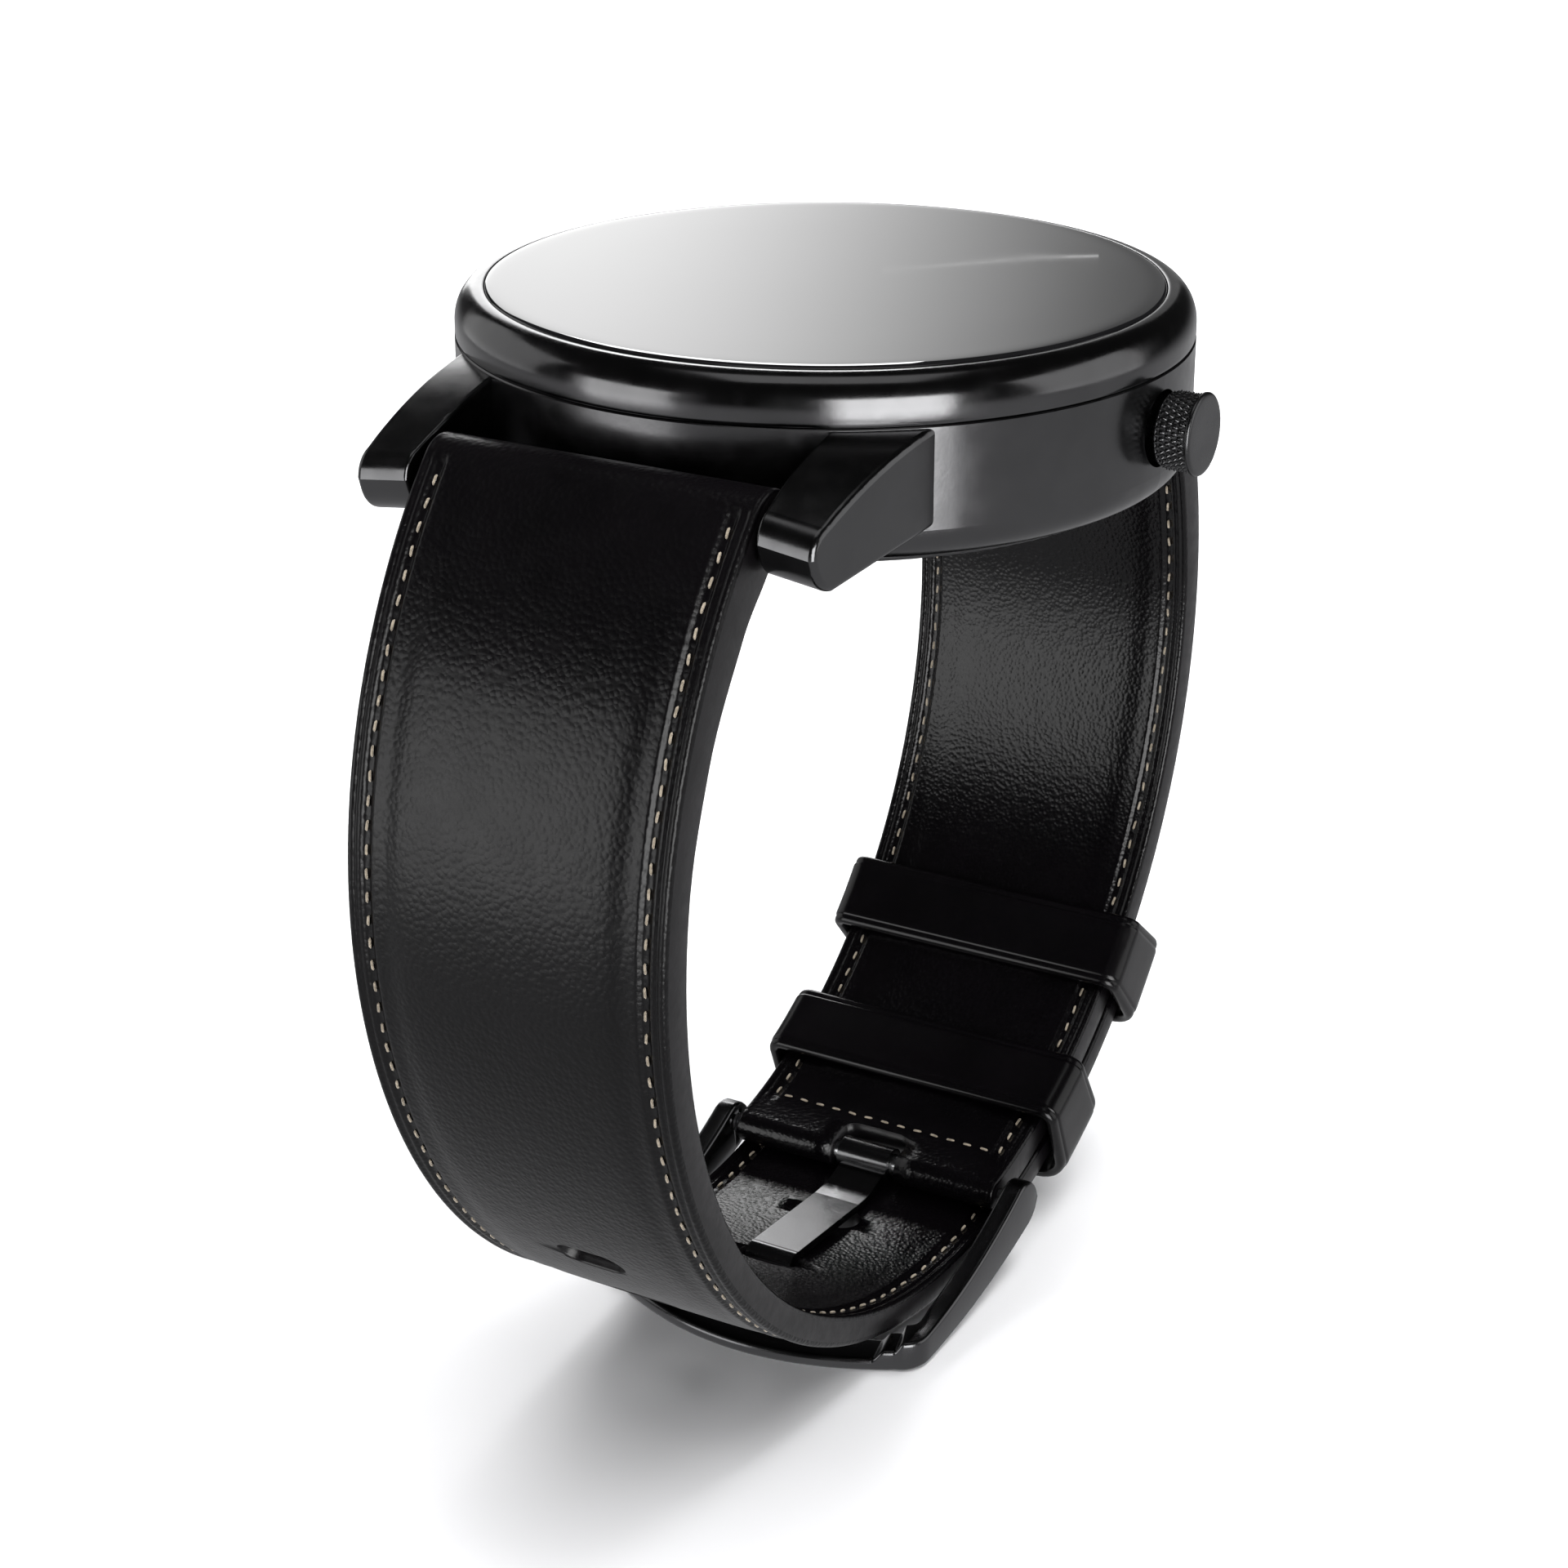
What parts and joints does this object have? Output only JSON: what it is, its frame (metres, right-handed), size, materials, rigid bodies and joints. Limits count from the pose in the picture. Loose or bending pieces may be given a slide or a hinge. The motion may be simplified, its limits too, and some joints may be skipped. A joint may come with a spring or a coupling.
{
  "type": "smartwatch",
  "caption": "Round smartwatch on a closed leather band: glass display, turning and pressing crown, sprung strap bars, sliding keeper and pin buckle.",
  "frame": {"origin": "centre of the flat sensor and charging window on the case back", "axes": "+Z out of the cover glass, +X towards the crown (3 o'clock), +Y towards the short strap (12 o'clock)"},
  "size_m": [0.0477, 0.0726, 0.0694],
  "materials": {
    "case_metal": "satin dark grey coating",
    "bezel_metal": "polished dark grey coating",
    "crown_metal": "polished dark grey coating, knurled",
    "buckle_metal": "satin dark grey coating with polished edges",
    "tongue_metal": "polished dark grey coating",
    "bar_steel": "turned stainless steel",
    "screw_steel": "plain stainless steel",
    "plate_metal": "thin rolled sheet",
    "shield_metal": "tinned sheet",
    "antenna_metal": "stamped strip",
    "contact_gold": "plated contacts",
    "cover_glass": "polished, anti-fingerprint coating",
    "window_glass": "polished, dark tint",
    "display_black": "unlit display",
    "back_plastic": "fine matt moulding",
    "tray_plastic": "moulded, filled nylon",
    "chip_plastic": "moulded packages",
    "circuit_board": "solder mask",
    "flex_film": "polyimide film",
    "battery_foil": "laminate pouch",
    "seal_rubber": "moulded seal",
    "strap_leather": "semi-gloss fine grain",
    "keeper_leather": "semi-gloss, painted edges",
    "lining_leather": "smooth lining",
    "strap_padding": "pressed filler, painted edges",
    "thread": "beige waxed thread"
  },
  "bodies": {
    "watch": {"mid_case": "case_metal", "bezel_ring": "bezel_metal", "cover_glass": "cover_glass", "glass_gasket": "seal_rubber", "touch_layer": "display_black", "display_panel": "display_black", "display_plate": "plate_metal", "display_flex": "flex_film", "inner_frame": "tray_plastic", "mainboard": "circuit_board", "shield_cans": "shield_metal", "board_chips": "chip_plastic", "board_screws": "screw_steel", "microphone": "shield_metal", "antenna": "antenna_metal", "battery": "battery_foil", "battery_flex": "flex_film", "vibration_motor": "shield_metal", "speaker": "tray_plastic", "back_gasket": "seal_rubber", "case_back": "back_plastic", "back_screws": "screw_steel", "charging_pins": "contact_gold", "sensor_window": "window_glass", "sensor_board": "circuit_board", "sensor_leds": "chip_plastic", "light_baffle": "tray_plastic", "crown_tube": "screw_steel", "crown_seal": "seal_rubber", "encoder_sensor": "chip_plastic", "crown_switch": "chip_plastic", "long_strap_outer": "strap_leather", "long_strap_core": "strap_padding", "long_strap_lining": "lining_leather", "long_strap_stitching": "thread", "short_strap_outer": "strap_leather", "short_strap_core": "strap_padding", "short_strap_lining": "lining_leather", "short_strap_stitching": "thread", "fixed_keeper": "keeper_leather", "bar_springs": "screw_steel", "long_bar_tube": "bar_steel", "short_bar_tube": "bar_steel", "buckle_bar_tube": "bar_steel"},
    "crown_carrier": {"switch_plunger": "tray_plastic"},
    "crown": {"crown_knob": "crown_metal", "crown_cap": "crown_metal", "crown_stem": "screw_steel", "crown_clip": "screw_steel", "encoder_wheel": "tray_plastic"},
    "free_keeper": {"free_keeper": "keeper_leather"},
    "buckle_frame": {"buckle_frame": "buckle_metal"},
    "buckle_tongue": {"buckle_tongue": "tongue_metal"},
    "long_bar_tip_left": {"long_bar_tip_left": "bar_steel"},
    "long_bar_tip_right": {"long_bar_tip_right": "bar_steel"},
    "short_bar_tip_left": {"short_bar_tip_left": "bar_steel"},
    "short_bar_tip_right": {"short_bar_tip_right": "bar_steel"},
    "buckle_bar_tip_left": {"buckle_bar_tip_left": "bar_steel"},
    "buckle_bar_tip_right": {"buckle_bar_tip_right": "bar_steel"}
  },
  "joints": [
    {"name": "crown_press", "type": "slide", "parent": "watch", "child": "crown_carrier", "axis": [-1, 0, 0], "range_m": [0, 0.0005], "stiffness_N_per_m": 3000, "springref_m": -0.0003},
    {"name": "crown_turn", "type": "hinge", "parent": "crown_carrier", "child": "crown", "pos_m": [0.0225, 0, 0.00635], "axis": [1, 0, 0], "continuous": true},
    {"name": "buckle_frame_hinge", "type": "hinge", "parent": "watch", "child": "buckle_frame", "pos_m": [0, 0.0069, -0.05175], "axis": [1, 0, 0], "range_deg": [0, 85]},
    {"name": "buckle_tongue_hinge", "type": "hinge", "parent": "watch", "child": "buckle_tongue", "pos_m": [0, 0.0069, -0.05175], "axis": [1, 0, 0], "range_deg": [-95, 0]},
    {"name": "free_keeper_slide", "type": "hinge", "parent": "watch", "child": "free_keeper", "pos_m": [0, 0, -0.0174], "axis": [1, 0, 0], "range_deg": [-10, 20]},
    {"name": "long_bar_tip_left_slide", "type": "slide", "parent": "watch", "child": "long_bar_tip_left", "axis": [1, 0, 0], "range_m": [0, 0.00095], "stiffness_N_per_m": 2000, "springref_m": -0.001},
    {"name": "long_bar_tip_right_slide", "type": "slide", "parent": "watch", "child": "long_bar_tip_right", "axis": [-1, 0, 0], "range_m": [0, 0.00095], "stiffness_N_per_m": 2000, "springref_m": -0.001},
    {"name": "short_bar_tip_left_slide", "type": "slide", "parent": "watch", "child": "short_bar_tip_left", "axis": [1, 0, 0], "range_m": [0, 0.00095], "stiffness_N_per_m": 2000, "springref_m": -0.001},
    {"name": "short_bar_tip_right_slide", "type": "slide", "parent": "watch", "child": "short_bar_tip_right", "axis": [-1, 0, 0], "range_m": [0, 0.00095], "stiffness_N_per_m": 2000, "springref_m": -0.001},
    {"name": "buckle_bar_tip_left_slide", "type": "slide", "parent": "watch", "child": "buckle_bar_tip_left", "axis": [1, 0, 0], "range_m": [0, 0.00095], "stiffness_N_per_m": 2000, "springref_m": -0.001},
    {"name": "buckle_bar_tip_right_slide", "type": "slide", "parent": "watch", "child": "buckle_bar_tip_right", "axis": [-1, 0, 0], "range_m": [0, 0.00095], "stiffness_N_per_m": 2000, "springref_m": -0.001}
  ]
}
